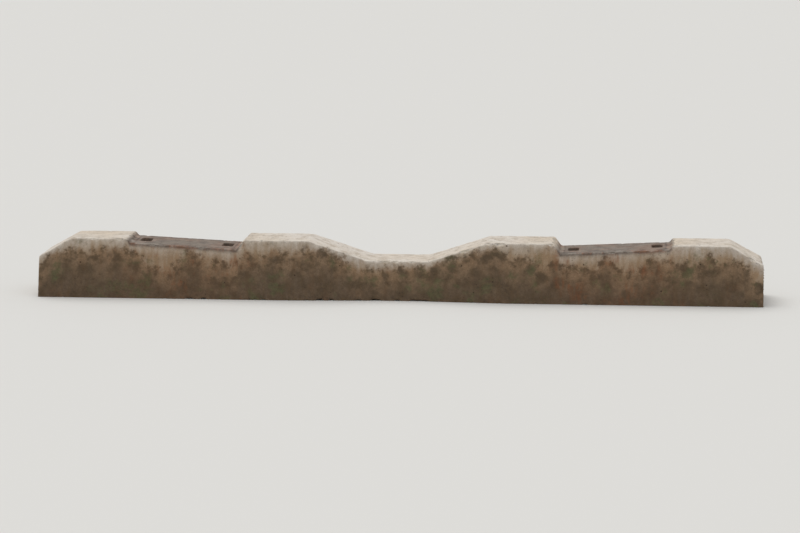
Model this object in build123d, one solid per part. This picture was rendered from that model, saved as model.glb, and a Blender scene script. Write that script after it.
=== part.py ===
"""Prestressed concrete railway sleeper for 1520 mm gauge track with bolted rail fastenings.

One concrete casting carries two rail seats. Each seat is a shallow recess canted 1 in 20 towards the
middle of the track, closed at both ends by a thrust edge, and has two bolt channels. A channel is a
slot that lets the T head of a bolt down, a steel anchor washer cast into the concrete, and a wider
chamber below it where the head turns and hooks under the washer.

Millimetres. The origin is the centre of the underside, +X runs along the sleeper and +Z is up.
"""

from build123d import *
from math import atan, degrees, radians, tan
import os

# Casting in plan, measured at the underside
sleeper_length = 2700.0
end_base_width = 300.0
middle_base_width = 250.0
waist_flat_end = 60.0
full_width_station = 400.0

# Heights above the underside
end_height = 150.0
shoulder_height = 218.0
seat_height = 193.0
middle_height = 145.0

# Stations along the top, measured from the middle of the sleeper
middle_flat_end = 110.0
inner_slope_top = 335.0
seat_centre = 804.0
outer_slope_top = 1228.0

# Rail seat, measured on its floor
seat_length = 404.0
seat_cant = 1 / 20
thrust_edge_angle = 55.0

# Mould draft and the bends and rounded edges that the mould gives
side_draft = 13.2
arris_radius = 8.0
middle_bend_radius = 90.0
slope_bend_radius = 45.0
thrust_nose_radius = 14.0
seat_corner_radius = 12.0
end_nose_radius = 14.0

# Bolt channels, square to the seat floor, with the slot's long side across the sleeper
bolt_spacing = 310.0
slot_length = 66.0
slot_width = 32.0
slot_depth = 84.0
slot_corner_radius = 6.0
slot_draft = 2.0
chamber_length = 76.0
chamber_width = 70.0
chamber_corner_radius = 12.0
chamber_draft = 3.0

# Anchor washer, pressed from steel plate
washer_length = 110.0
washer_width = 96.0
washer_thickness = 6.0
washer_lip_height = 16.0
washer_bend_radius = 6.0

half_length = sleeper_length / 2
seat_angle = degrees(atan(seat_cant))
cut_margin = 20.0


def seat_floor_height(station):
    """Height of the canted seat floor at a distance from the middle of the sleeper."""
    return seat_height + (station - seat_centre) * seat_cant


def top_corners():
    """Corners of one half of the side view with their bend radii, from the middle outwards."""
    inner_floor = seat_centre - seat_length / 2
    outer_floor = seat_centre + seat_length / 2
    inner_depth = shoulder_height - seat_floor_height(inner_floor)
    outer_depth = shoulder_height - seat_floor_height(outer_floor)
    run_per_depth = 1 / tan(radians(thrust_edge_angle))
    return [
        (middle_flat_end, middle_height, middle_bend_radius),
        (inner_slope_top, shoulder_height, slope_bend_radius),
        (inner_floor - inner_depth * run_per_depth, shoulder_height, thrust_nose_radius),
        (inner_floor, seat_floor_height(inner_floor), seat_corner_radius),
        (outer_floor, seat_floor_height(outer_floor), seat_corner_radius),
        (outer_floor + outer_depth * run_per_depth, shoulder_height, thrust_nose_radius),
        (outer_slope_top, shoulder_height, slope_bend_radius),
        (half_length, end_height, end_nose_radius),
        (half_length, 0, 0),
    ]


def rounded_face(corners):
    """Closed face on corners that are each given as two coordinates and a bend radius."""
    points = [(across, up) for across, up, radius in corners]
    radii = [radius for across, up, radius in corners]
    return make_face(FilletPolyline(*points, radius=radii, close=True))


def long_profile():
    """The casting's side view, thicker than the casting is wide."""
    right = top_corners()
    left = [(-x, z, radius) for x, z, radius in reversed(right)]
    side_view = Plane.XZ * rounded_face(right + left)
    return extrude(side_view, amount=end_base_width / 2 + cut_margin, both=True)


def drafted_bar(far_side):
    """Bar on a plan given by its corners on the far side, drawn in towards the top by the draft."""
    near_side = [(x, -y) for x, y in far_side]
    plan = make_face(Polyline(*near_side, *reversed(far_side), close=True))
    return extrude(plan, amount=shoulder_height + cut_margin, taper=side_draft)


def is_arris(edge):
    """True for an edge between a side and the top or an end, which the mould rounds."""
    middle = edge @ 0.5
    direction = edge % 0.5
    across = abs(direction.Y) > 0.9
    upright = abs(direction.X) < 0.05 and abs(middle.X) < half_length - 1
    return middle.Z > 1 and not across and not upright


def shaped_bar(far_side):
    """A drafted bar cut to the side view, with its arrises rounded."""
    bar = long_profile() & drafted_bar(far_side)
    return fillet(bar.edges().filter_by(is_arris), arris_radius)


def casting_blank():
    """The casting before its channels: a narrow bar at the waist and one that flares to each end."""
    past_end = half_length + shoulder_height
    narrow = middle_base_width / 2
    wide = end_base_width / 2
    flare = (wide - narrow) / (full_width_station - waist_flat_end)
    inside_waist = narrow - 2 * waist_flat_end * flare
    waist = shaped_bar([(-full_width_station, narrow), (full_width_station, narrow)])
    right = shaped_bar([(-waist_flat_end, inside_waist), (full_width_station, wide), (past_end, wide)])
    return waist + right + mirror(right, about=Plane.YZ)


def bolt_slot():
    """The room for a bolt's T head from the washer up through the seat floor, at the origin."""
    opening = RectangleRounded(slot_width, slot_length, slot_corner_radius)
    reach = slot_depth + cut_margin
    return Pos(0, 0, -slot_depth) * extrude(opening, amount=reach, taper=-slot_draft)


def bolt_chamber():
    """The wider room below the washer, down through the underside, where the T head turns."""
    opening = RectangleRounded(chamber_width, chamber_length, chamber_corner_radius)
    washer_underside = slot_depth + washer_thickness
    reach = shoulder_height + cut_margin - washer_underside
    return Pos(0, 0, -washer_underside) * extrude(opening, amount=-reach, taper=-chamber_draft)


def washer_blank():
    """The anchor washer before its slot: a plate with both edges bent up, cut off square."""
    side = washer_width / 2
    inner_side = side - washer_thickness
    outer_bend = washer_bend_radius + washer_thickness
    right = [
        (side, 0, outer_bend),
        (side, washer_lip_height, 0),
        (inner_side, washer_lip_height, 0),
        (inner_side, washer_thickness, washer_bend_radius),
    ]
    left = [(-x, z, radius) for x, z, radius in reversed(right)]
    section = Plane.XZ * rounded_face(right + left)
    plate = extrude(section, amount=washer_length / 2, both=True)
    return Pos(0, 0, -slot_depth - washer_thickness) * plate


def anchor_washer():
    """The washer with the slot that the bolt's T head drops through."""
    opening = RectangleRounded(slot_width, slot_length, slot_corner_radius)
    cutter = extrude(opening, amount=slot_depth + washer_thickness + cut_margin, dir=(0, 0, -1))
    return washer_blank() - cutter


def channel_places():
    """Name and place of every bolt channel, with its own Z square to the seat floor."""
    places = {}
    for side_name, side in (("left", -1), ("right", 1)):
        seat = Pos(side * seat_centre, 0, seat_height) * Rot(0, -side * seat_angle, 0)
        for along_name, along in (("inner", -1), ("outer", 1)):
            shift = Pos(side * along * bolt_spacing / 2, 0, 0)
            places[f"{side_name}_{along_name}"] = seat * shift
    return places


def concrete_casting():
    """The whole concrete casting with its four channels and the beds of the anchor washers."""
    casting = casting_blank()
    for place in channel_places().values():
        for cutter in (bolt_slot(), bolt_chamber(), washer_blank()):
            casting -= place * cutter
    return casting


def all_parts():
    """Every piece of the sleeper by name."""
    parts = {"concrete_sleeper": concrete_casting()}
    for name, place in channel_places().items():
        parts[f"anchor_washer_{name}"] = place * anchor_washer()
    return parts


os.makedirs("parts", exist_ok=True)
for node, part in all_parts().items():
    part.label = node
    export_step(part, f"parts/{node}.step")
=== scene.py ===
"""Looks of a weathered prestressed concrete railway sleeper on a pale studio floor.

The casting is a fine mesh on the same outline as the CAD casting, worn and chipped along its
arrises, with its four channels cut through it. Its concrete carries the stains of decades of use:
pale on top, brown where it was buried, dark on the seats. Painted into its colour are shade down
the sides and in the pits, the ballast's shadow in the soil band, and a highlight along the arrises.
Geometry Nodes make the cut wire ends.

Metres, in the frame of the CAD model: +X along the sleeper, +Z up, underside on Z = 0.
"""

import bmesh
import bpy
import math
import random
from mathutils import Euler, Matrix, Vector, noise

import numpy as np


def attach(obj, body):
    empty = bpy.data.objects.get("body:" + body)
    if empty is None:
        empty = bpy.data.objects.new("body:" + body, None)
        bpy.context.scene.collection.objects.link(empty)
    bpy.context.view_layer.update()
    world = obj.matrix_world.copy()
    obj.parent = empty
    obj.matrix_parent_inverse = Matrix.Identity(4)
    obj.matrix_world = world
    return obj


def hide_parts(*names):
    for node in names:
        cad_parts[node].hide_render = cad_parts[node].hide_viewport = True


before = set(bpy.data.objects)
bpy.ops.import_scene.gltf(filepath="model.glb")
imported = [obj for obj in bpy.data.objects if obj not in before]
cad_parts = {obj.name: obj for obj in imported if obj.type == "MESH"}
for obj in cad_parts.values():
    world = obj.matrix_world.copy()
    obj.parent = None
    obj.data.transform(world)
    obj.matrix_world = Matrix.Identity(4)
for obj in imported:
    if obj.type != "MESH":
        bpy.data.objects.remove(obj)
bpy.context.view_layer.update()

# Camera: from eye height, nearly square to the sleeper and a little from the right, as in the photo
view_azimuth = math.radians(5)
view_elevation = math.radians(9)
view_distance = 10.5
view_target = Vector((0, 0, 0.11))
view_lens = 126

# Light: strength of the sky at the horizon and overhead, and the one lamp, high up behind
horizon_strength = 0.36
overhead_strength = 0.70
lamp_strength = 1.55
lamp_way = Vector((-0.25, 0.35, 1))
lamp_softness = math.radians(55)

# Casting in plan, measured at the underside
half_length = 1.350
end_half_width = 0.150
middle_half_width = 0.125
waist_flat_end = 0.060
full_width_station = 0.400
side_draft = math.radians(13.2)

# Side view: heights above the underside, and stations from the middle of the sleeper
middle_height = 0.145
shoulder_height = 0.218
end_height = 0.150
middle_flat_end = 0.110
inner_slope_top = 0.335
outer_slope_top = 1.228

# Seats, measured on their canted floor
seat_centre = 0.804
seat_half_length = 0.202
seat_height = 0.193
seat_cant = 1 / 20
thrust_edge_angle = math.radians(55)

# Bends and rounded edges that the mould gives
arris_radius = 0.008
middle_bend_radius = 0.090
slope_bend_radius = 0.045
thrust_nose_radius = 0.014
seat_corner_radius = 0.012
end_nose_radius = 0.014

# Channels, square to the seat floor
channel_offset = 0.155
slot_size = (0.032, 0.066)
slot_corner = 0.006
chamber_size = (0.070, 0.076)
chamber_corner = 0.012
slot_depth = 0.084
slot_draft = math.radians(2)
washer_thickness = 0.006
washer_ledge = 0.0012
chamber_draft = math.radians(3)
chamber_foot = -0.225
mouth_wear = 0.0025
slot_overrun = 0.002
chamber_overrun = 0.001

# Cut ends of the prestressing wires: two pairs of columns with eleven wires in each column
wire_diameter = 0.003
wire_rows = 11
wire_pitch = 0.0103
wire_lowest = 0.024
wire_columns = (0.060, 0.075)

# Each wire end: how deep it starts, its length, its rounded cut, and how far it may stray
wire_seed = 5
wire_sides = 12
wire_start = -0.004
wire_length = 0.0057
cut_rounding = 0.0003
cut_face_share = 0.78
wire_stray_in = -0.0012
wire_stray_out = 0.0008
wire_stray_aside = 0.0009
wire_tilt = 0.09

# Mesh of the casting: about 4 mm along it, finer round the arrises and coarser between them
run_step = 0.0044
base_steps = 9
side_steps = 22
arris_steps = 6
top_steps = 12
end_ring_shares = (0.92, 0.75, 0.5, 0.25)
end_ring_height = 0.07

# Wear of the skin: depth lost everywhere, and waves given as depth and number in a metre
skin_wear = 0.0006
skin_waves = ((0.0005, 4), (0.0002, 22))

# Wear of the edges, which reaches 18 mm from them, and the crumbling that breaks it up
edge_reach = 0.018
edge_wear = 0.0003
crumble_depth = 0.0060
crumbs_in_metre = 50
crumble_start = 0.16

# The rough underside: depth lost, and its pebbles and grit by height and number in a metre
underside_wear = 0.0022
pebble_height = 0.0020
pebbles_in_metre = 34
grit_height = 0.001
grit_in_metre = 150

# Chips by edge: how many, their radii, and the share of the radius that they cut into the edge
chip_seed = 11
chip_roughness = 0.16
chip_bumps_in_metre = 70
nose_chip_reach = 0.11
thrust_chip_reach = 0.09
corner_chip_top = 0.140
top_chips = {"count": 64, "radii": (0.008, 0.026), "cuts": (0.30, 0.48)}
foot_chips = {"count": 40, "radii": (0.008, 0.024), "cuts": (0.20, 0.42)}
end_nose_chips = {"count": 8, "radii": (0.012, 0.026), "cuts": (0.20, 0.42)}
end_corner_chips = {"count": 10, "radii": (0.010, 0.026), "cuts": (0.20, 0.42)}
thrust_nose_chips = {"count": 4, "radii": (0.010, 0.022), "cuts": (0.35, 0.50)}

# Marked regions: how far stains pass the seat, their fade along and down it, and the arris band
stain_past_seat = 0.016
stain_fade = 0.012
arris_band = 0.014
stain_depth = 0.012

# Footprint on each seat that was covered
pad_half_length = 0.188
pad_half_width = 0.084

# Relief of the concrete's layers in millimetres, on top of that of the sand
sand_height = 0.15
relief_heights = {"mottle": 1.1, "grit": 0.8, "pits": -2.6, "stones": 0.7, "pad": -0.8}


def add_object(name, data):
    """A new object in the scene."""
    made = bpy.data.objects.new(name, data)
    bpy.context.scene.collection.objects.link(made)
    return made


def place_camera():
    """The camera at the photograph's viewing angle, the sleeper across nine tenths of the frame."""
    camera = add_object("camera", bpy.data.cameras.new("camera"))
    camera.data.sensor_width = 36
    camera.data.lens = view_lens
    away = Vector((math.sin(view_azimuth), -math.cos(view_azimuth), math.tan(view_elevation)))
    camera.location = view_target + away.normalized() * view_distance
    camera.rotation_euler = away.to_track_quat("Z", "Y").to_euler()
    camera.data.clip_end = 200
    bpy.context.scene.camera = camera


def light_studio():
    """Light grey sky, brighter overhead, and one very soft lamp high up behind."""
    world = bpy.data.worlds.new("studio")
    world.use_nodes = True
    tree = world.node_tree
    tree.nodes.clear()
    way = add_node(tree, "ShaderNodeTexCoord")["Generated"]
    upward = add_node(tree, "ShaderNodeSeparateXYZ", {0: way})[2]
    strength = {0: upward, 3: horizon_strength, 4: overhead_strength}
    strength = add_node(tree, "ShaderNodeMapRange", strength)[0]
    sky = add_node(
        tree, "ShaderNodeBackground", {"Color": (0.98, 0.99, 1, 1), "Strength": strength}
    )[0]
    add_node(tree, "ShaderNodeOutputWorld", {"Surface": sky})
    bpy.context.scene.world = world
    lamp = bpy.data.lights.new("high_lamp", "SUN")
    lamp.energy = lamp_strength
    lamp.angle = lamp_softness
    lamp.color = (1, 0.98, 0.95)
    high = add_object("high_lamp", lamp)
    high.rotation_euler = lamp_way.to_track_quat("Z", "Y").to_euler()
    bpy.context.scene.view_settings.view_transform = "Standard"


def linear_colour(text):
    """An sRGB hex colour as a linear colour with full alpha."""
    parts = [int(text[i : i + 2], 16) / 255 for i in (0, 2, 4)]
    return [c / 12.92 if c <= 0.04045 else ((c + 0.055) / 1.055) ** 2.4 for c in parts] + [1.0]


def add_node(tree, kind, inputs=None, **settings):
    """Adds a node with its settings, values and links, and gives back its outputs.

    A number as a key is a socket's place. Map Range has its value at 0, the range that this is read
    in at 1 and 2, and the range given out at 3 and 4, each from 0 to 1 if left out. Mix has its
    share at 0 and its colours at 6 and 7.
    """
    made = tree.nodes.new(kind)
    for name, value in settings.items():
        setattr(made, name, value)
    for key, value in (inputs or {}).items():
        links = value if isinstance(value, list) else [value]
        if isinstance(links[0], bpy.types.NodeSocket):
            for link in links:
                tree.links.new(link, made.inputs[key])
        else:
            made.inputs[key].default_value = value
    return made.outputs


# ---------------------------------------------------------------- outline of the casting


def seat_floor_height(station):
    """Height of the canted seat floor at a distance from the middle."""
    return seat_height + (station - seat_centre) * seat_cant


def top_corners():
    """Corners of the side view from the middle to the right end, each with its bend radius."""
    inner_floor = seat_centre - seat_half_length
    outer_floor = seat_centre + seat_half_length
    inner_depth = shoulder_height - seat_floor_height(inner_floor)
    outer_depth = shoulder_height - seat_floor_height(outer_floor)
    run_per_depth = 1 / math.tan(thrust_edge_angle)
    return [
        (0.0, middle_height, 0),
        (middle_flat_end, middle_height, middle_bend_radius),
        (inner_slope_top, shoulder_height, slope_bend_radius),
        (inner_floor - inner_depth * run_per_depth, shoulder_height, thrust_nose_radius),
        (inner_floor, seat_floor_height(inner_floor), seat_corner_radius),
        (outer_floor, seat_floor_height(outer_floor), seat_corner_radius),
        (outer_floor + outer_depth * run_per_depth, shoulder_height, thrust_nose_radius),
        (outer_slope_top, shoulder_height, slope_bend_radius),
        (half_length, end_height, end_nose_radius),
        (half_length, 0.0, 0),
    ]


def bend(before, corner, after, radius, steps=7):
    """Points of the arc that rounds one corner."""
    to_before = (Vector(before[:2]) - Vector(corner[:2])).normalized()
    to_after = (Vector(after[:2]) - Vector(corner[:2])).normalized()
    half_angle = to_before.angle(to_after) / 2
    inwards = (to_before + to_after).normalized()
    centre = Vector(corner[:2]) + inwards * radius / math.sin(half_angle)
    start = Vector(corner[:2]) + to_before * radius / math.tan(half_angle) - centre
    turn = (2 * half_angle - math.pi) * math.copysign(1, to_before.cross(to_after))
    return [centre + Matrix.Rotation(turn * i / steps, 2) @ start for i in range(steps + 1)]


def side_view():
    """Stations along the whole sleeper with the height of its top at each."""
    corners = top_corners()
    points = [Vector(corners[0][:2])]
    for before, corner, after in zip(corners, corners[1:], corners[2:]):
        arc = bend(before, corner, after, corner[2])
        gap = (arc[0] - points[-1]).length
        steps = max(1, math.ceil(gap / run_step))
        points += [points[-1].lerp(arc[0], i / steps) for i in range(1, steps)]
        points += arc
    right = [(p.x, p.y) for p in points]
    return [(-x, z) for x, z in reversed(right[1:])] + right


def base_half_width(station):
    """Half width of the underside, which narrows to the waist and rounds off at the ends."""
    along = abs(station)
    flare = (along - waist_flat_end) / (full_width_station - waist_flat_end)
    width = middle_half_width + (end_half_width - middle_half_width) * min(1, max(0, flare))
    into_round = max(0.0, along - (half_length - arris_radius))
    return width - arris_radius + math.sqrt(max(0.0, arris_radius**2 - into_round**2))


def crowded(steps, at_start=0.6, at_end=0.6):
    """Shares from 0 to 1 that can lie closer together near either end."""
    shares = []
    for i in range(steps + 1):
        even = i / steps
        eased = even + at_start * (even**2 - even) * (1 - even) - at_end * (even**2 - even) * even
        shares.append(eased)
    return shares


def half_section(station, top):
    """Half of the cross section from the middle of the underside round to the middle of the top."""
    foot = Vector((base_half_width(station), 0))
    up_side = Vector((-math.sin(side_draft), math.cos(side_draft)))
    corner = foot + up_side * (top / math.cos(side_draft))
    reach = arris_radius * math.tan((math.pi / 2 - side_draft) / 2)
    arc_start = corner - up_side * reach
    arc_end = corner - Vector((reach, 0))
    centre = arc_end - Vector((0, arris_radius))
    points = [foot * share for share in crowded(base_steps, 0)[:-1]]
    points += [foot.lerp(arc_start, share) for share in crowded(side_steps)[:-1]]
    for i in range(arris_steps):
        angle = side_draft + (math.pi / 2 - side_draft) * i / arris_steps
        points.append(centre + Vector((math.cos(angle), math.sin(angle))) * arris_radius)
    points += [arc_end.lerp(Vector((0, top)), share) for share in crowded(top_steps, 0.6, 0)]
    return points


def casting_grid():
    """Rings of points round the casting at every station, and the quads between them."""
    stations = side_view()
    rings = []
    for station, top in stations:
        half = half_section(station, top)
        ring = [(station, p.x, p.y) for p in half]
        ring += [(station, -p.x, p.y) for p in reversed(half[1:-1])]
        rings.append(ring)
    count = len(rings[0])
    rings = end_rings(rings[0])[::-1] + rings + end_rings(rings[-1])
    faces = []
    for i in range(len(rings) - 1):
        for j in range(count):
            k = (j + 1) % count
            faces.append((i * count + j, (i + 1) * count + j, (i + 1) * count + k, i * count + k))
    last = (len(rings) - 1) * count
    faces.append(tuple(range(count)))
    faces.append(tuple(last + j for j in reversed(range(count))))
    return [point for ring in rings for point in ring], faces


def end_rings(ring):
    """Smaller and smaller rings that cover an end face."""
    centre = Vector((ring[0][0], 0, end_ring_height))
    return [[tuple(centre.lerp(Vector(p), share)) for p in ring] for share in end_ring_shares]


# ---------------------------------------------------------------- wear of the casting


def top_height(station):
    """Height of the casting's top at any station."""
    return float(np.interp(abs(station), top_stations, top_heights))


def arris_point(station, side):
    """The sharp corner that the top arris rounds off."""
    top = top_height(station)
    return Vector((station, side * (base_half_width(station) - top * math.tan(side_draft)), top))


def scoop(pick, edge, out, chips):
    """Centre and radius of a ball that cuts a share of its radius into an edge."""
    radius = pick.uniform(*chips["radii"])
    share = pick.uniform(*chips["cuts"])
    return edge + Vector(out).normalized() * radius * (1 - share), radius


def chip_list():
    """The balls that take scoops out of the casting's edges."""
    pick = random.Random(chip_seed)
    balls = []
    for _ in range(top_chips["count"]):
        side = pick.choice((-1, 1))
        edge = arris_point(pick.uniform(-half_length, half_length), side)
        balls.append(scoop(pick, edge, (0, side, 1), top_chips))
    for _ in range(foot_chips["count"]):
        side = pick.choice((-1, 1))
        station = pick.uniform(-half_length, half_length)
        foot = Vector((station, side * base_half_width(station), 0))
        balls.append(scoop(pick, foot, (0, side, -0.8), foot_chips))
    for end in (-1, 1):
        for _ in range(end_nose_chips["count"]):
            across = pick.uniform(-nose_chip_reach, nose_chip_reach)
            nose = Vector((end * half_length, across, end_height))
            balls.append(scoop(pick, nose, (end, 0, 0.7), end_nose_chips))
        for _ in range(end_corner_chips["count"]):
            side = pick.choice((-1, 1))
            up = pick.uniform(0, corner_chip_top)
            across = side * (end_half_width - up * math.tan(side_draft))
            corner = Vector((end * half_length, across, up))
            balls.append(scoop(pick, corner, (end, side, 0), end_corner_chips))
    for seat_side in (-1, 1):
        for nose in thrust_noses:
            for _ in range(thrust_nose_chips["count"]):
                across = pick.uniform(-thrust_chip_reach, thrust_chip_reach)
                edge = Vector((seat_side * nose, across, shoulder_height))
                inwards = seat_side * math.copysign(1, seat_centre - nose)
                balls.append(scoop(pick, edge, (inwards, 0, 1), thrust_nose_chips))
    return balls


def wear_depth(point, normal):
    """How far the surface has worn back at a point, in metres, along its normal."""
    station, across, up = point
    depth = skin_wear
    for height, in_metre in skin_waves:
        depth += height * noise.noise(point * in_metre)
    corner = arris_point(station, 1 if across > 0 else -1)
    from_edge = math.hypot(across - corner.y, up - corner.z)
    for nose in thrust_noses:
        from_edge = min(from_edge, math.hypot(abs(station) - nose, up - shoulder_height))
    edge = max(0.0, 1 - from_edge / edge_reach)
    crumble = max(0.0, noise.fractal(point * crumbs_in_metre, 1.0, 2.0, 3) - crumble_start)
    depth += edge * (edge_wear + crumble_depth * crumble)
    if normal.z < -0.9:
        pebbly = noise.fractal(point * pebbles_in_metre + Vector((5, 1, 2)), 0.8, 2.0, 4)
        gritty = noise.noise(point * grit_in_metre)
        depth += underside_wear + pebble_height * pebbly + grit_height * gritty
    return depth


def wear_casting(mesh):
    """Wears and chips the mesh, and marks the broken surface in the attribute "broken"."""
    points = []
    for vertex in mesh.vertices:
        points.append(vertex.co - vertex.normal * wear_depth(vertex.co, vertex.normal))
    worn = np.array(points)
    broken = np.zeros(len(worn), np.float32)
    for centre, radius in chip_list():
        reach = radius * (1 + chip_roughness)
        for i in np.flatnonzero(np.abs(worn - np.array(centre)).max(axis=1) < reach):
            away = Vector(worn[i]) - centre
            bump = noise.noise(Vector(worn[i]) * chip_bumps_in_metre)
            rough = radius * (1 + chip_roughness * bump)
            if away.length < rough:
                worn[i] = centre + away.normalized() * rough
                broken[i] = 1
    mesh.vertices.foreach_set("co", worn.astype(np.float32).ravel())
    mesh.attributes.new("broken", "FLOAT", "POINT").data.foreach_set("value", broken)
    mesh.update()


# ---------------------------------------------------------------- channels


def rounded_rectangle(size, corner, steps=5):
    """Points round a rectangle with rounded corners, in its own plane."""
    points = []
    for quarter, (sx, sy) in enumerate(((1, 1), (-1, 1), (-1, -1), (1, -1))):
        for i in range(steps + 1):
            angle = math.radians(90) * (quarter + i / steps)
            x = sx * (size[0] / 2 - corner) + corner * math.cos(angle)
            y = sy * (size[1] / 2 - corner) + corner * math.sin(angle)
            points.append((x, y))
    return points


def lofted_cutter(name, levels, place):
    """A closed solid through rounded rectangles, given as height, size and corner radius."""
    shape = bmesh.new()
    rings = []
    for height, size, corner in levels:
        outline = rounded_rectangle(size, corner)
        rings.append([shape.verts.new(place @ Vector((x, y, height))) for x, y in outline])
    count = len(rings[0])
    for low, high in zip(rings, rings[1:]):
        for i in range(count):
            k = (i + 1) % count
            shape.faces.new((low[i], low[k], high[k], high[i]))
    shape.faces.new(rings[0])
    shape.faces.new(rings[-1])
    bmesh.ops.recalc_face_normals(shape, faces=shape.faces)
    mesh = bpy.data.meshes.new(name)
    shape.to_mesh(mesh)
    shape.free()
    return add_object(name, mesh)


def channel_places():
    """Place of every channel, with its Z square to the seat floor."""
    places = []
    for side in (-1, 1):
        tilt = Euler((0, -side * math.atan(seat_cant), 0)).to_matrix().to_4x4()
        seat = Matrix.Translation((side * seat_centre, 0, seat_height)) @ tilt
        for along in (-1, 1):
            places.append(seat @ Matrix.Translation((along * channel_offset, 0, 0)))
    return places


def grown(size, by):
    """A size made larger by the same amount on every side."""
    return (size[0] + 2 * by, size[1] + 2 * by)


def channel_cutters(place):
    """Slot with a worn mouth, with the washer's edge standing out in it, and the chamber below."""
    opened = slot_depth * math.tan(slot_draft)
    mouth = slot_corner + opened
    washer_bottom = -slot_depth - washer_thickness
    # Heights, sizes and corner radii, with the mouth's in shares of its wear
    slot = [
        (washer_bottom - slot_overrun, grown(slot_size, washer_ledge), slot_corner),
        (-slot_depth, grown(slot_size, washer_ledge), slot_corner),
        (-2.2 * mouth_wear, grown(slot_size, opened), mouth),
        (-0.7 * mouth_wear, grown(slot_size, opened + 0.35 * mouth_wear), mouth + 0.001),
        (0.0005, grown(slot_size, opened + 1.2 * mouth_wear), mouth + 0.002),
        (0.020, grown(slot_size, opened + 0.011), mouth + 0.004),
    ]
    ceiling = washer_bottom + chamber_overrun
    spread = (ceiling - chamber_foot) * math.tan(chamber_draft)
    chamber = [
        (chamber_foot, grown(chamber_size, spread), chamber_corner),
        (ceiling, chamber_size, chamber_corner),
    ]
    return [lofted_cutter("slot", slot, place), lofted_cutter("chamber", chamber, place)]


def cut_channels(casting):
    """Cuts the four channels through the casting."""
    cutters = [cutter for place in channel_places() for cutter in channel_cutters(place)]
    for cutter in cutters:
        cut = casting.modifiers.new(cutter.name, "BOOLEAN")
        cut.operation = "DIFFERENCE"
        cut.solver = "EXACT"
        cut.object = cutter
    evaluated = casting.evaluated_get(bpy.context.evaluated_depsgraph_get())
    casting.modifiers.clear()
    casting.data = bpy.data.meshes.new_from_object(evaluated)
    for cutter in cutters:
        bpy.data.objects.remove(cutter)


def mark_regions(mesh):
    """Attributes that the stains, the painted shade and the painted highlight follow: depth below
    the top, seat, upward faces and arrises.
    """
    count = len(mesh.vertices)
    place = np.zeros(count * 3, np.float32)
    facing = np.zeros(count * 3, np.float32)
    mesh.vertices.foreach_get("co", place)
    mesh.vertices.foreach_get("normal", facing)
    along, across, up = np.abs(place.reshape(-1, 3)).T
    top = np.interp(along, top_stations, top_heights)
    below = top - up
    foot = np.array([base_half_width(station) for station in along])
    half_width = foot - top * math.tan(side_draft)
    from_arris = np.hypot(across - half_width, below)
    past_seat = seat_half_length + stain_past_seat - np.abs(along - seat_centre)
    inside_seat = np.clip(past_seat / stain_fade, 0, 1)
    values = {
        "below_top": below,
        "rail_seat": inside_seat * np.clip(1.5 - below / stain_depth, 0, 1),
        "facing_up": facing.reshape(-1, 3)[:, 2],
        "arris": np.clip(1 - from_arris / arris_band, 0, 1),
    }
    for name, value in values.items():
        layer = mesh.attributes.new(name, "FLOAT", "POINT")
        layer.data.foreach_set("value", value.astype(np.float32))


def smooth_but_creased(mesh, angle):
    """Smooth shading with sharp edges where two faces meet more steeply than the angle."""
    mesh.shade_smooth()
    mesh.set_sharp_from_angle(angle=math.radians(angle))


def make_casting():
    """The worn concrete casting that stands for the CAD casting."""
    points, faces = casting_grid()
    mesh = bpy.data.meshes.new("worn_casting")
    mesh.from_pydata(points, [], faces)
    shape = bmesh.new()
    shape.from_mesh(mesh)
    bmesh.ops.recalc_face_normals(shape, faces=shape.faces)
    shape.to_mesh(mesh)
    shape.free()
    casting = add_object("worn_casting", mesh)
    cut_channels(casting)
    mark_regions(casting.data)
    wear_casting(casting.data)
    smooth_but_creased(casting.data, 38)
    return casting


# ---------------------------------------------------------------- finishes


def start_material(name):
    """An empty node material with its tree."""
    material = bpy.data.materials.new(name)
    material.use_nodes = True
    material.node_tree.nodes.clear()
    return material, material.node_tree


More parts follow.
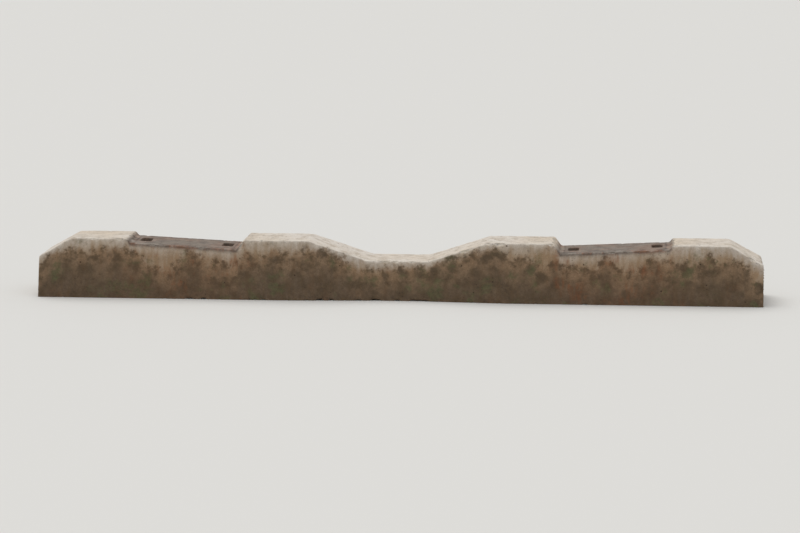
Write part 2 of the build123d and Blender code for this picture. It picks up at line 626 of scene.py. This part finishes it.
def read_concrete(tree):
    """What the concrete's layers start from: place, marked regions and the patterns they share."""
    place = add_node(tree, "ShaderNodeTexCoord")["Object"]
    axis = add_node(tree, "ShaderNodeSeparateXYZ", {0: place})
    look = {"place": place, "up": axis[2]}
    look["along"] = add_node(tree, "ShaderNodeMath", {0: axis[0]}, operation="ABSOLUTE")[0]
    look["across"] = add_node(tree, "ShaderNodeMath", {0: axis[1]}, operation="ABSOLUTE")[0]
    for name in ("below_top", "rail_seat", "facing_up", "arris", "broken"):
        look[name] = add_node(tree, "ShaderNodeAttribute", attribute_name=name)["Fac"]
    # Clouds of 300 mm, patches of 110 mm, mottling of 40 mm and grit of 12 mm
    patterns = {
        "clouds": (3.3, 4, 0.5),
        "patches": (9, 5, 0.7),
        "mottle": (26, 6, 0.62),
        "grit": (85, 5, 0.75),
    }
    for name, (scale, detail, roughness) in patterns.items():
        wanted = {"Vector": place, "Scale": scale, "Detail": detail, "Roughness": roughness}
        look[name] = add_node(tree, "ShaderNodeTexNoise", wanted)[0]
    # Round grains of 1 mm sand, drawn at 3 mm so that they show, each with its own tone round 0
    grains = add_node(tree, "ShaderNodeTexVoronoi", {"Vector": place, "Scale": 330})
    look["grains"] = add_node(
        tree, "ShaderNodeMapRange", {0: grains["Distance"], 1: 0.60, 2: 0.30}
    )[0]
    tone = add_node(tree, "ShaderNodeSeparateColor", {0: grains["Color"]})[0]
    tone = add_node(tree, "ShaderNodeMath", {0: tone, 1: 0.5}, operation="SUBTRACT")[0]
    look["sand"] = add_node(
        tree, "ShaderNodeMath", {0: tone, 1: look["grains"]}, operation="MULTIPLY"
    )[0]
    spots = {0: look["mottle"], 1: 0.42, 2: 0.68}
    look["spots"] = add_node(tree, "ShaderNodeMapRange", spots, interpolation_type="SMOOTHSTEP")[0]
    clods = {0: look["grit"], 1: 0.6, 2: look["mottle"]}
    clods = add_node(tree, "ShaderNodeMath", clods, operation="MULTIPLY_ADD")[0]
    look["clods"] = add_node(
        tree, "ShaderNodeMapRange", {0: clods, 1: 0.72, 2: 0.94}, interpolation_type="SMOOTHSTEP"
    )[0]
    look["on_side"] = add_node(
        tree, "ShaderNodeMapRange", {0: look["facing_up"], 1: 0.75, 2: 0.35}
    )[0]
    return look


def cement_skin(tree, look):
    """Pale warm grey cement, cloudy and mottled."""
    warmth = {0: look["clouds"], 1: 0.35, 2: 0.65}
    warmth = add_node(tree, "ShaderNodeMapRange", warmth, interpolation_type="SMOOTHSTEP")[0]
    pale, warm, dull = linear_colour("D9D1C7"), linear_colour("D2C4B2"), linear_colour("BDB0A0")
    colour = add_node(tree, "ShaderNodeMix", {0: warmth, 6: pale, 7: warm}, data_type="RGBA")[2]
    return add_node(
        tree, "ShaderNodeMix", {0: look["spots"], 6: colour, 7: dull}, data_type="RGBA"
    )[2]


def bare_stones(tree, look, colour):
    """Stones of 4 to 10 mm, faint where the skin has worn and plain on a broken place."""
    cells = add_node(tree, "ShaderNodeTexVoronoi", {"Vector": look["place"], "Scale": 95})
    draw = add_node(tree, "ShaderNodeSeparateColor", {0: cells["Color"]})
    body = add_node(tree, "ShaderNodeMapRange", {0: cells["Distance"], 1: 0.50, 2: 0.38})[0]
    some = add_node(tree, "ShaderNodeMapRange", {0: draw[0], 1: 0.55, 2: 0.57})[0]
    bared = add_node(
        tree, "ShaderNodeMapRange", {0: look["spots"], 1: 0.2, 2: 1.0, 3: 0.22, 4: 0.70}
    )[0]
    bared = add_node(tree, "ShaderNodeMath", {0: bared, 1: look["broken"]}, operation="MAXIMUM")[0]
    shown = add_node(tree, "ShaderNodeMath", {0: body, 1: some}, operation="MULTIPLY")[0]
    look["stones"] = add_node(tree, "ShaderNodeMath", {0: shown, 1: bared}, operation="MULTIPLY")[0]
    dark, light = linear_colour("7F766D"), linear_colour("DCD3C9")
    tone = add_node(tree, "ShaderNodeMix", {0: draw[1], 6: dark, 7: light}, data_type="RGBA")[2]
    fresh = add_node(tree, "ShaderNodeMath", {0: look["broken"], 1: 0.7}, operation="MULTIPLY")[0]
    chipped = linear_colour("B4A896")
    colour = add_node(tree, "ShaderNodeMix", {0: fresh, 6: colour, 7: chipped}, data_type="RGBA")[2]
    return add_node(
        tree, "ShaderNodeMix", {0: look["stones"], 6: colour, 7: tone}, data_type="RGBA"
    )[2]


def arris_wear_and_highlight(tree, look, colour):
    """Arrises rubbed clean and pale, with a painted highlight along them in the same pale colour.
    """
    rubbed = add_node(
        tree, "ShaderNodeMapRange", {0: look["mottle"], 1: 0.65, 2: 0.40, 3: 0.1, 4: 0.85}
    )[0]
    rubbed = add_node(
        tree, "ShaderNodeMath", {0: rubbed, 1: look["arris"]}, operation="MULTIPLY"
    )[0]
    # Painted highlight: the pale band along the arrises is partly wear and partly the light that
    # the rounded edge catches.
    clean = linear_colour("E2D9CD")
    return add_node(tree, "ShaderNodeMix", {0: rubbed, 6: colour, 7: clean}, data_type="RGBA")[2]


def rain_streaks_and_side_shade(tree, look, colour):
    """A brown film that thickens down the sides, drawn by rain into streaks about 15 mm wide,
    with painted shade in it that deepens down the sides.
    """
    stretched = add_node(
        tree, "ShaderNodeVectorMath", {0: look["place"], 1: (62, 62, 2.5)}, operation="MULTIPLY"
    )[0]
    runs = add_node(tree, "ShaderNodeTexNoise", {"Vector": stretched, "Scale": 1, "Detail": 3})[0]
    look["runs"] = add_node(tree, "ShaderNodeMapRange", {0: runs, 1: 0.40, 2: 0.70})[0]
    # Painted shade: the film's growing strength down the sides stands partly for shade there.
    film = add_node(
        tree, "ShaderNodeMapRange", {0: look["below_top"], 1: 0.004, 2: 0.045, 3: 0.10, 4: 0.74}
    )[0]
    film = add_node(
        tree, "ShaderNodeMath", {0: look["runs"], 1: 0.38, 2: film}, operation="MULTIPLY_ADD"
    )[0]
    film = add_node(tree, "ShaderNodeMath", {0: film, 1: look["on_side"]}, operation="MULTIPLY")[0]
    brown = linear_colour("A48A6D")
    return add_node(tree, "ShaderNodeMix", {0: film, 6: colour, 7: brown}, data_type="RGBA")[2]


def soil_and_shadow_line(tree, look):
    """Depth below the top where soil and the ballast's painted shadow start: waves and narrow
    peaks, and nearer on the slopes.
    """
    stretched = add_node(
        tree, "ShaderNodeVectorMath", {0: look["place"], 1: (9, 4, 2)}, operation="MULTIPLY"
    )[0]
    waves = {"Vector": stretched, "Scale": 1, "Detail": 2, "Roughness": 0.55}
    waves = add_node(tree, "ShaderNodeTexNoise", waves)[0]
    line = add_node(
        tree, "ShaderNodeMapRange", {0: waves, 1: 0.34, 2: 0.66, 3: 0.070, 4: 0.022}, clamp=False
    )[0]
    stretched = add_node(
        tree, "ShaderNodeVectorMath", {0: look["place"], 1: (11, 6, 0)}, operation="MULTIPLY"
    )[0]
    peaks = add_node(tree, "ShaderNodeTexVoronoi", {"Vector": stretched, "Scale": 1})["Distance"]
    peaks = add_node(tree, "ShaderNodeMapRange", {0: peaks, 1: 0.42, 2: 0.08, 4: 0.034})[0]
    line = add_node(tree, "ShaderNodeMath", {0: line, 1: peaks}, operation="SUBTRACT")[0]
    level = add_node(
        tree, "ShaderNodeMapRange", {0: look["along"], 1: 0.28, 2: 0.42, 3: 0.45, 4: 1.0}
    )[0]
    return add_node(tree, "ShaderNodeMath", {0: line, 1: level}, operation="MULTIPLY")[0]


def soil_and_shadow_on_sides(tree, look, colour):
    """Soil on the sides, up to the line that the sleeper was buried to, with the ballast's shadow
    painted in.
    """
    depth = {0: look["below_top"], 1: soil_and_shadow_line(tree, look)}
    depth = add_node(tree, "ShaderNodeMath", depth, operation="SUBTRACT")[0]
    for pattern, height in (("mottle", 0.018), ("grit", 0.013)):
        ragged = {0: look[pattern], 1: 0.3, 2: 0.7, 3: -height, 4: height}
        ragged = add_node(tree, "ShaderNodeMapRange", ragged)[0]
        depth = add_node(tree, "ShaderNodeMath", {0: depth, 1: ragged}, operation="ADD")[0]
    look["buried"] = depth
    reach = {0: look["buried"], 1: -0.010, 2: 0.022, 4: 0.9}
    share = add_node(tree, "ShaderNodeMapRange", reach, interpolation_type="SMOOTHSTEP")[0]
    look["soiled"] = add_node(
        tree, "ShaderNodeMath", {0: share, 1: look["on_side"]}, operation="MULTIPLY"
    )[0]
    # Painted shadow: the band sits high and darkens further down, partly soil and partly the shadow
    # that ballast cast.
    deeper = add_node(tree, "ShaderNodeMapRange", {0: look["buried"], 1: 0.0, 2: 0.11})[0]
    upper, lower, damp = linear_colour("967A5D"), linear_colour("62503D"), linear_colour("53432F")
    soil = add_node(tree, "ShaderNodeMix", {0: deeper, 6: upper, 7: lower}, data_type="RGBA")[2]
    soil = add_node(
        tree, "ShaderNodeMix", {0: look["clods"], 6: soil, 7: damp}, data_type="RGBA"
    )[2]
    return add_node(
        tree, "ShaderNodeMix", {0: look["soiled"], 6: colour, 7: soil}, data_type="RGBA"
    )[2]


def moss_and_rust(tree, look, colour):
    """Moss in hand-sized patches round the soil line, and rust washed down from the seats."""
    moss = {0: look["patches"], 1: 0.54, 2: 0.66}
    moss = add_node(tree, "ShaderNodeMapRange", moss, interpolation_type="SMOOTHSTEP")[0]
    damp = add_node(
        tree, "ShaderNodeMapRange", {0: look["buried"], 1: -0.040, 2: 0.005, 4: 0.68}
    )[0]
    moss = add_node(tree, "ShaderNodeMath", {0: moss, 1: damp}, operation="MULTIPLY")[0]
    moss = add_node(tree, "ShaderNodeMath", {0: moss, 1: look["on_side"]}, operation="MULTIPLY")[0]
    green = linear_colour("5E6040")
    colour = add_node(tree, "ShaderNodeMix", {0: moss, 6: colour, 7: green}, data_type="RGBA")[2]
    from_seat = add_node(
        tree, "ShaderNodeMath", {0: look["along"], 1: seat_centre}, operation="SUBTRACT"
    )[0]
    look["from_seat"] = add_node(tree, "ShaderNodeMath", {0: from_seat}, operation="ABSOLUTE")[0]
    near = add_node(
        tree, "ShaderNodeMapRange", {0: look["from_seat"], 1: 0.30, 2: 0.16, 3: 0.12, 4: 0.75}
    )[0]
    bled = {0: look["patches"], 1: 0.50, 2: 0.34}
    bled = add_node(tree, "ShaderNodeMapRange", bled, interpolation_type="SMOOTHSTEP")[0]
    bled = add_node(
        tree, "ShaderNodeMath", {0: bled, 1: look["runs"], 2: 0.1}, operation="MULTIPLY_ADD"
    )[0]
    bled = add_node(tree, "ShaderNodeMath", {0: bled, 1: near}, operation="MULTIPLY")[0]
    bled = add_node(tree, "ShaderNodeMath", {0: bled, 1: look["on_side"]}, operation="MULTIPLY")[0]
    washed = linear_colour("8B5434")
    return add_node(tree, "ShaderNodeMix", {0: bled, 6: colour, 7: washed}, data_type="RGBA")[2]


def packed_underside(tree, look, colour):
    """Stone dust packed into the rough underside."""
    dust, damp = linear_colour("7D7060"), linear_colour("625544")
    dust = add_node(
        tree, "ShaderNodeMix", {0: look["clods"], 6: dust, 7: damp}, data_type="RGBA"
    )[2]
    under = add_node(
        tree, "ShaderNodeMapRange", {0: look["facing_up"], 1: -0.80, 2: -0.96, 4: 0.9}
    )[0]
    return add_node(tree, "ShaderNodeMix", {0: under, 6: colour, 7: dust}, data_type="RGBA")[2]


def used_rail_seats(tree, look, colour):
    """Iron dust, oil and rust on the seats, greyer and sunk a little on the footprint that was
    covered.
    """
    seat = look["rail_seat"]
    grime = add_node(tree, "ShaderNodeMapRange", {0: look["clods"], 3: 0.72, 4: 0.96})[0]
    look["grime"] = add_node(tree, "ShaderNodeMath", {0: grime, 1: seat}, operation="MULTIPLY")[0]
    rusty = {0: look["grit"], 1: 0.5, 2: look["patches"]}
    rusty = add_node(tree, "ShaderNodeMath", rusty, operation="MULTIPLY_ADD")[0]
    rusty = add_node(
        tree, "ShaderNodeMapRange", {0: rusty, 1: 0.68, 2: 0.86}, interpolation_type="SMOOTHSTEP"
    )[0]
    dust, rust = linear_colour("5A4D42"), linear_colour("74503A")
    tone = add_node(tree, "ShaderNodeMix", {0: rusty, 6: dust, 7: rust}, data_type="RGBA")[2]
    colour = add_node(
        tree, "ShaderNodeMix", {0: look["grime"], 6: colour, 7: tone}, data_type="RGBA"
    )[2]
    # Dirt gathered in a broken rim 6 mm wide round the footprint
    ragged = add_node(
        tree, "ShaderNodeMapRange", {0: look["grit"], 1: 0.3, 2: 0.7, 3: -0.004, 4: 0.004}
    )[0]
    over_end = add_node(
        tree, "ShaderNodeMath", {0: look["from_seat"], 1: pad_half_length}, operation="SUBTRACT"
    )[0]
    over_side = add_node(
        tree, "ShaderNodeMath", {0: look["across"], 1: pad_half_width}, operation="SUBTRACT"
    )[0]
    outside = add_node(tree, "ShaderNodeMath", {0: over_end, 1: over_side}, operation="MAXIMUM")[0]
    outside = add_node(tree, "ShaderNodeMath", {0: outside, 1: ragged}, operation="ADD")[0]
    from_rim = add_node(tree, "ShaderNodeMath", {0: outside}, operation="ABSOLUTE")[0]
    thick = add_node(
        tree, "ShaderNodeMapRange", {0: look["mottle"], 1: 0.36, 2: 0.60, 3: 0.15, 4: 0.75}
    )[0]
    rim = add_node(tree, "ShaderNodeMapRange", {0: from_rim, 1: 0.0045, 2: 0.0015, 4: thick})[0]
    rim = add_node(tree, "ShaderNodeMath", {0: rim, 1: seat}, operation="MULTIPLY")[0]
    pad = add_node(tree, "ShaderNodeMapRange", {0: outside, 1: 0.001, 2: -0.003, 4: 0.42})[0]
    look["pad"] = add_node(tree, "ShaderNodeMath", {0: pad, 1: seat}, operation="MULTIPLY")[0]
    covered = {0: look["pad"], 6: colour, 7: linear_colour("6B6056")}
    colour = add_node(tree, "ShaderNodeMix", covered, data_type="RGBA")[2]
    dark_dirt = linear_colour("3D2E25")
    return add_node(tree, "ShaderNodeMix", {0: rim, 6: colour, 7: dark_dirt}, data_type="RGBA")[2]


def rust_round_wires(tree, look, colour):
    """Rust that has spread from the cut wires over the end faces."""
    middle = (wire_columns[0] + wire_columns[1]) / 2
    half_gap = (wire_columns[1] - wire_columns[0]) / 2
    aside = add_node(
        tree, "ShaderNodeMath", {0: look["across"], 1: middle}, operation="SUBTRACT"
    )[0]
    aside = add_node(tree, "ShaderNodeMath", {0: aside}, operation="ABSOLUTE")[0]
    aside = add_node(tree, "ShaderNodeMath", {0: aside, 1: half_gap}, operation="SUBTRACT")[0]
    rise = add_node(
        tree, "ShaderNodeMath", {0: look["up"], 1: wire_lowest}, operation="SUBTRACT"
    )[0]
    step = add_node(tree, "ShaderNodeMath", {0: rise, 1: wire_pitch / 2}, operation="PINGPONG")[0]
    over = add_node(
        tree, "ShaderNodeMath", {0: rise, 1: wire_pitch * (wire_rows - 1)}, operation="SUBTRACT"
    )[0]
    step = add_node(tree, "ShaderNodeMath", {0: step, 1: over}, operation="MAXIMUM")[0]
    away = add_node(tree, "ShaderNodeCombineXYZ", {0: aside, 1: step})[0]
    away = add_node(tree, "ShaderNodeVectorMath", {0: away}, operation="LENGTH")["Value"]
    halo = add_node(tree, "ShaderNodeMapRange", {0: away, 1: 0.006, 2: 0.0015, 4: 0.9})[0]
    spread = add_node(tree, "ShaderNodeMapRange", {0: aside, 1: 0.009, 2: 0.0, 4: 0.5})[0]
    spread = add_node(
        tree, "ShaderNodeMath", {0: spread, 1: look["mottle"]}, operation="MULTIPLY"
    )[0]
    top_row = add_node(tree, "ShaderNodeMapRange", {0: over, 1: 0.006, 2: -0.004})[0]
    spread = add_node(tree, "ShaderNodeMath", {0: spread, 1: top_row}, operation="MULTIPLY")[0]
    rust = add_node(tree, "ShaderNodeMath", {0: halo, 1: spread}, operation="MAXIMUM")[0]
    face = {0: look["along"], 1: half_length - 0.006, 2: half_length - 0.004}
    on_end = add_node(tree, "ShaderNodeMapRange", face)[0]
    rust = add_node(tree, "ShaderNodeMath", {0: rust, 1: on_end}, operation="MULTIPLY")[0]
    wire_rust = linear_colour("7B4A2C")
    return add_node(tree, "ShaderNodeMix", {0: rust, 6: colour, 7: wire_rust}, data_type="RGBA")[2]


def air_pits_painted_shade(tree, look, colour):
    """Pits of 2 to 7 mm that air bubbles left against the mould, darkened inside by painted shade.
    """
    found = []
    for scale, rarest, reach in ((42, 0.66, 0.15), (105, 0.60, 0.17)):
        cells = add_node(tree, "ShaderNodeTexVoronoi", {"Vector": look["place"], "Scale": scale})
        draw = add_node(tree, "ShaderNodeSeparateColor", {0: cells["Color"]})[0]
        size = add_node(tree, "ShaderNodeMapRange", {0: draw, 1: rarest, 4: reach})[0]
        inside = add_node(
            tree, "ShaderNodeMath", {0: size, 1: cells["Distance"]}, operation="SUBTRACT"
        )[0]
        pit = {0: inside, 1: 0.0, 2: 0.03}
        pit = add_node(tree, "ShaderNodeMapRange", pit, interpolation_type="SMOOTHSTEP")[0]
        found.append(pit)
    look["pits"] = add_node(
        tree, "ShaderNodeMath", {0: found[0], 1: found[1]}, operation="MAXIMUM"
    )[0]
    # Painted shade: the pits are darkened by multiplying their colour with a grey.
    shaded = {0: look["pits"], 6: colour, 7: linear_colour("A0968B")}
    return add_node(tree, "ShaderNodeMix", shaded, data_type="RGBA", blend_type="MULTIPLY")[2]


def sand_and_grit(tree, look, colour):
    """Sand grains over the whole casting, with coarser grit where soil or grime has stuck to it."""
    stuck = add_node(
        tree, "ShaderNodeMath", {0: look["soiled"], 1: look["grime"]}, operation="MAXIMUM"
    )[0]
    darkest = add_node(tree, "ShaderNodeMapRange", {0: stuck, 3: 0.95, 4: 0.74})[0]
    lightest = add_node(tree, "ShaderNodeMapRange", {0: stuck, 3: 1.03, 4: 1.24})[0]
    clumps = {0: look["grit"], 1: 0.36, 2: 0.64, 3: darkest, 4: lightest}
    clumps = add_node(tree, "ShaderNodeMapRange", clumps)[0]
    grains = add_node(
        tree, "ShaderNodeMapRange", {0: look["sand"], 1: -0.5, 2: 0.5, 3: 0.78, 4: 1.15}
    )[0]
    grains = add_node(tree, "ShaderNodeMath", {0: grains, 1: clumps}, operation="MULTIPLY")[0]
    lit = {0: 1.0, 6: colour, 7: grains}
    return add_node(tree, "ShaderNodeMix", lit, data_type="RGBA", blend_type="MULTIPLY")[2]


def weathered_concrete():
    """Steel-moulded concrete after decades outdoors: matt and pale where rain has worn it, pitted
    and sandy close up, brown where it was buried, dark on the seats. Painted shade darkens the pits
    and, with the brown film, the sides; painted shadow of the ballast darkens the soil band, and a
    painted highlight brightens the arrises. IOR 1.5."""
    material, tree = start_material("weathered_concrete")
    look = read_concrete(tree)
    colour = cement_skin(tree, look)
    for layer in (
        bare_stones,
        arris_wear_and_highlight,
        rain_streaks_and_side_shade,
        soil_and_shadow_on_sides,
        moss_and_rust,
        packed_underside,
        used_rail_seats,
        rust_round_wires,
        air_pits_painted_shade,
        sand_and_grit,
    ):
        colour = layer(tree, look, colour)
    relief = {0: look["grains"], 1: sand_height}
    relief = add_node(tree, "ShaderNodeMath", relief, operation="MULTIPLY")[0]
    for part, millimetres in relief_heights.items():
        added = {0: look[part], 1: millimetres, 2: relief}
        relief = add_node(tree, "ShaderNodeMath", added, operation="MULTIPLY_ADD")[0]
    bump = add_node(
        tree, "ShaderNodeBump", {"Height": relief, "Distance": 0.001, "Strength": 1.0}
    )[0]
    dull = add_node(tree, "ShaderNodeMapRange", {0: look["grime"], 3: 0.92, 4: 0.70})[0]
    skin = {"Base Color": colour, "Roughness": dull, "Normal": bump, "IOR": 1.5}
    surface = add_node(tree, "ShaderNodeBsdfPrincipled", skin)[0]
    add_node(tree, "ShaderNodeOutputMaterial", {"Surface": surface})
    return material


def rusted_steel():
    """Mild steel left to rust in the wet: dark brown scale, orange bloom, dull, hardly metallic."""
    material, tree = start_material("rusted_steel")
    place = add_node(tree, "ShaderNodeTexCoord")["Object"]
    # Blooms about 12 mm across and pitting about 2 mm across
    bloom = add_node(
        tree, "ShaderNodeTexNoise", {"Vector": place, "Scale": 85, "Detail": 5, "Roughness": 0.65}
    )[0]
    pitting = add_node(tree, "ShaderNodeTexNoise", {"Vector": place, "Scale": 520, "Detail": 3})[0]
    share = add_node(
        tree, "ShaderNodeMapRange", {0: bloom, 1: 0.42, 2: 0.62}, interpolation_type="SMOOTHSTEP"
    )[0]
    scale, orange = linear_colour("3E2B22"), linear_colour("7C4526")
    colour = add_node(tree, "ShaderNodeMix", {0: share, 6: scale, 7: orange}, data_type="RGBA")[2]
    metal = add_node(tree, "ShaderNodeMapRange", {0: share, 3: 0.45, 4: 0.05})[0]
    dull = add_node(tree, "ShaderNodeMapRange", {0: share, 3: 0.62, 4: 0.92})[0]
    relief = add_node(tree, "ShaderNodeMath", {0: pitting, 1: 0.25}, operation="MULTIPLY")[0]
    bump = add_node(
        tree, "ShaderNodeBump", {"Height": relief, "Distance": 0.001, "Strength": 1.0}
    )[0]
    skin = {"Base Color": colour, "Metallic": metal, "Roughness": dull, "Normal": bump}
    surface = add_node(tree, "ShaderNodeBsdfPrincipled", skin)[0]
    add_node(tree, "ShaderNodeOutputMaterial", {"Surface": surface})
    return material


def floor_paint():
    """Plain pale matt floor."""
    material = bpy.data.materials.new("floor_paint")
    material.use_nodes = True
    surface = material.node_tree.nodes["Principled BSDF"]
    surface.inputs["Base Color"].default_value = linear_colour("DAD9D6")
    surface.inputs["Roughness"].default_value = 0.95
    return material


# ---------------------------------------------------------------- wire ends


def one_wire_end(tree, diameter):
    """A short closed round bar that points along +X, its cut edge a little rounded."""
    radius = add_node(tree, "ShaderNodeMath", {0: diameter, 1: 0.5}, operation="MULTIPLY")[0]
    disc = add_node(
        tree, "GeometryNodeMeshCircle", {"Vertices": wire_sides, "Radius": radius}, fill_type="NGON"
    )[0]
    turned = {"Rotation": (0, math.pi / 2, 0), "Translation": (wire_start, 0, 0)}
    disc = add_node(tree, "GeometryNodeTransform", {"Geometry": disc, **turned})[0]
    outwards = {"Offset": (1, 0, 0), "Individual": False}
    drawn = {"Mesh": disc, "Offset Scale": wire_length, **outwards}
    bar = add_node(tree, "GeometryNodeExtrudeMesh", drawn)
    cut = {"Mesh": bar["Mesh"], "Selection": bar["Top"], "Offset Scale": cut_rounding}
    edge = add_node(tree, "GeometryNodeExtrudeMesh", {**cut, **outwards})
    shrunk = {"Geometry": edge["Mesh"], "Selection": edge["Top"], "Scale": cut_face_share}
    bar = add_node(tree, "GeometryNodeScaleElements", shrunk)[0]
    back = add_node(tree, "GeometryNodeFlipFaces", {"Mesh": disc})[0]
    closed = add_node(tree, "GeometryNodeJoinGeometry", {0: [bar, back]})[0]
    return add_node(
        tree, "GeometryNodeMergeByDistance", {"Geometry": closed, "Distance": 0.00001}
    )[0]


def wire_places(tree, given):
    """Points of the wires on the right end face: two columns of rows on each side of the middle."""
    step = add_node(tree, "ShaderNodeCombineXYZ", {2: given["Row Pitch"]})[0]
    first = add_node(tree, "ShaderNodeCombineXYZ", {2: given["Lowest Row"]})[0]
    rows = {"Count": given["Rows"], "Start Location": first, "Offset": step}
    column = add_node(tree, "GeometryNodeMeshLine", rows)[0]
    gap = add_node(tree, "ShaderNodeCombineXYZ", {1: given["Column Gap"]})[0]
    inner = add_node(
        tree, "ShaderNodeCombineXYZ", {0: given["End Face"], 1: given["Inner Column"]}
    )[0]
    pair = add_node(
        tree, "GeometryNodeMeshLine", {"Count": 2, "Start Location": inner, "Offset": gap}
    )[0]
    placed = add_node(tree, "GeometryNodeInstanceOnPoints", {"Points": pair, "Instance": column})[0]
    half = add_node(tree, "GeometryNodeRealizeInstances", {"Geometry": placed})[0]
    other = add_node(tree, "GeometryNodeTransform", {"Geometry": half, "Scale": (1, -1, 1)})[0]
    return add_node(tree, "GeometryNodeJoinGeometry", {0: [half, other]})[0]


def wire_end_tree(material):
    """Geometry Nodes tree that sets the cut wire ends on both end faces, with its named sizes."""
    tree = bpy.data.node_groups.new("wire_ends", "GeometryNodeTree")
    sizes = {
        "Wire Diameter": wire_diameter,
        "Rows": wire_rows,
        "Row Pitch": wire_pitch,
        "Lowest Row": wire_lowest,
        "Inner Column": wire_columns[0],
        "Column Gap": wire_columns[1] - wire_columns[0],
        "End Face": half_length,
        "Seed": wire_seed,
    }
    for name, value in sizes.items():
        kind = "NodeSocketInt" if isinstance(value, int) else "NodeSocketFloat"
        tree.interface.new_socket(name, in_out="INPUT", socket_type=kind)
    tree.interface.new_socket("Geometry", in_out="OUTPUT", socket_type="NodeSocketGeometry")
    given = add_node(tree, "NodeGroupInput")
    stub = one_wire_end(tree, given["Wire Diameter"])
    # Each wire stands out by its own amount, slightly off its place and slightly bent
    low = (wire_stray_in, -wire_stray_aside, -wire_stray_aside)
    high = (wire_stray_out, wire_stray_aside, wire_stray_aside)
    shift = {"Min": low, "Max": high, "Seed": given["Seed"]}
    shift = add_node(tree, "FunctionNodeRandomValue", shift, data_type="FLOAT_VECTOR")[0]
    places = add_node(
        tree, "GeometryNodeSetPosition", {"Geometry": wire_places(tree, given), "Offset": shift}
    )[0]
    low, high = (0, -wire_tilt, -wire_tilt), (6.28, wire_tilt, wire_tilt)
    turn = {"Min": low, "Max": high, "Seed": given["Seed"]}
    turn = add_node(tree, "FunctionNodeRandomValue", turn, data_type="FLOAT_VECTOR")[0]
    right = {"Points": places, "Instance": stub, "Rotation": turn}
    right = add_node(tree, "GeometryNodeInstanceOnPoints", right)[0]
    left = add_node(
        tree, "GeometryNodeTransform", {"Geometry": right, "Rotation": (0, 0, math.pi)}
    )[0]
    both = add_node(tree, "GeometryNodeJoinGeometry", {0: [right, left]})[0]
    real = add_node(tree, "GeometryNodeRealizeInstances", {"Geometry": both})[0]
    finished = add_node(
        tree, "GeometryNodeSetMaterial", {"Geometry": real, "Material": material}
    )[0]
    add_node(tree, "NodeGroupOutput", {"Geometry": finished})
    return tree, sizes


def make_wire_ends(material):
    """The 44 cut wires on each end face as one plain mesh."""
    tree, sizes = wire_end_tree(material)
    maker = add_object("wire_ends", bpy.data.meshes.new("wire_ends"))
    modifier = maker.modifiers.new("wire_ends", "NODES")
    modifier.node_group = tree
    for item in tree.interface.items_tree:
        if item.in_out == "INPUT":
            modifier[item.identifier] = sizes[item.name]
    evaluated = maker.evaluated_get(bpy.context.evaluated_depsgraph_get())
    made = bpy.data.meshes.new_from_object(evaluated)
    maker.modifiers.clear()
    maker.data = made
    smooth_but_creased(made, 35)
    return maker


def lay_floor():
    """A wide floor that runs past everything the camera sees."""
    mesh = bpy.data.meshes.new("floor")
    reach = 90.0
    corners = [(-reach, -reach, 0), (reach, -reach, 0), (reach, reach, 0), (-reach, reach, 0)]
    mesh.from_pydata(corners, [], [(0, 1, 2, 3)])
    mesh.materials.append(floor_paint())
    floor = add_object("floor", mesh)


place_camera()
light_studio()
lay_floor()

# What the wear and the marked regions read: the right half of the top, and its thrust noses
half_view = side_view()[len(side_view()) // 2 :]
top_stations = [station for station, height in half_view]
top_heights = [height for station, height in half_view]
thrust_noses = [top_corners()[3][0], top_corners()[6][0]]

concrete = weathered_concrete()
rust = rusted_steel()

casting = make_casting()
casting.data.materials.clear()
casting.data.materials.append(concrete)
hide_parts("concrete_sleeper")
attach(casting, "root")

wires = make_wire_ends(rust)
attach(wires, "root")

for name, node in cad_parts.items():
    if name.startswith("anchor_washer"):
        node.data.materials.clear()
        node.data.materials.append(rust)
